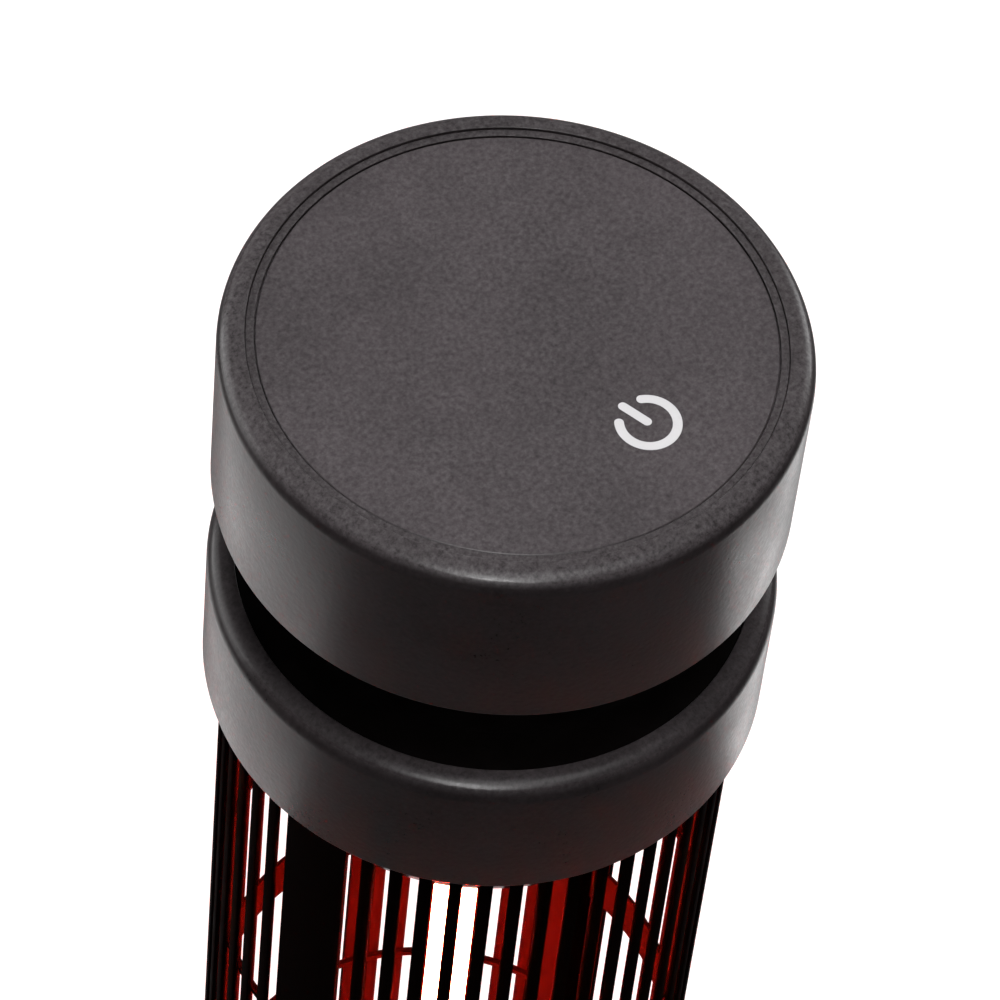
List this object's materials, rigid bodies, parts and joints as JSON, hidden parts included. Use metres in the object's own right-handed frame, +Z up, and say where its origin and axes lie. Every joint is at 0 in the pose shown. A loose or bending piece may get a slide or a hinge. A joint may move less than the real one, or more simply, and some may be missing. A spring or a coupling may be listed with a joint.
{
  "type": "under-table patio heater",
  "caption": "Free-standing electric heater: upright carbon lamp in a barred round cage, with a drum collar, a hand-grip gap and a touch-panel cap, on a round foot plate.",
  "frame": {"origin": "on the floor, under the middle of the round base", "axes": "+Z up along the column, -Y towards the front, where the touch symbol is"},
  "size_m": [0.23, 0.23, 0.645],
  "materials": {
    "coated_metal": "fine matte powder coat, dark grey",
    "panel_grey": "smooth satin touch surface",
    "symbol_white": "white inlay",
    "cage_black": "heat-proof black coat",
    "dish_black": "satin black coat",
    "zinc_steel": "zinc-plated screws",
    "sheet_steel": "plain sheet",
    "polished_shield": "bright rolled sheet",
    "board_green": "circuit board",
    "black_plastic": "moulded parts",
    "grey_plastic": "moulded terminals",
    "heatsink_metal": "extruded",
    "copper": "copper pad and contacts",
    "ceramic_white": "unglazed ceramic",
    "fibre": "ceramic fibre pad",
    "quartz": "clear quartz glass",
    "carbon_glow": "carbon strip, glowing when on; emissive",
    "rubber_black": "soft rubber",
    "wire_brown": "silicone-sheathed wire",
    "magnet_metal": "nickel-plated magnet"
  },
  "bodies": {
    "heater": {"base_deck": "polished_shield", "base_plate": "coated_metal", "base_screws": "zinc_steel", "base_shell": "coated_metal", "board_screws": "zinc_steel", "board_standoffs": "zinc_steel", "cable_gland": "black_plastic", "cap_floor": "dish_black", "cap_shell": "coated_metal", "carbon_emitter": "carbon_glow", "ceramic_blanket": "fibre", "collar_dish": "dish_black", "collar_floor": "sheet_steel", "collar_shell": "coated_metal", "contact_discs": "copper", "control_board": "board_green", "emitter_clamps": "zinc_steel", "fixing_screws": "zinc_steel", "floor_screws": "zinc_steel", "front_grille": "cage_black", "gland_cap": "black_plastic", "gland_nut": "black_plastic", "gland_seal": "rubber_black", "holder_screws": "zinc_steel", "lamp_leads": "wire_brown", "left_post": "cage_black", "lower_lamp_cap": "ceramic_white", "lower_lamp_holder": "ceramic_white", "mid_band": "cage_black", "neck_gasket": "rubber_black", "neck_screws": "zinc_steel", "neck_tube": "dish_black", "post_screws": "zinc_steel", "power_relay": "black_plastic", "power_symbol": "symbol_white", "quartz_tube": "quartz", "rear_grille": "cage_black", "right_post": "cage_black", "rubber_feet": "rubber_black", "sensor_board": "board_green", "sensor_screws": "zinc_steel", "shield_screws": "zinc_steel", "shield_spacers": "zinc_steel", "supply_module": "black_plastic", "supply_wires": "wire_brown", "terminal_block": "grey_plastic", "thermal_cutout": "black_plastic", "tip_bracket": "sheet_steel", "tip_pin": "zinc_steel", "tip_sensor": "board_green", "touch_electrode": "copper", "touch_panel": "panel_grey", "triac_heatsink": "heatsink_metal", "trim_ring": "coated_metal", "upper_heat_shield": "polished_shield", "upper_lamp_cap": "ceramic_white", "upper_lamp_holder": "ceramic_white", "wire_terminal": "grey_plastic"},
    "pendulum": {"tip_pendulum": "zinc_steel", "tip_magnet": "magnet_metal"}
  },
  "joints": [
    {"name": "tip_swing", "type": "hinge", "parent": "heater", "child": "pendulum", "pos_m": [0.045, 0, 0.0385], "axis": [0, 1, 0], "range_deg": [-30, 30]}
  ]
}
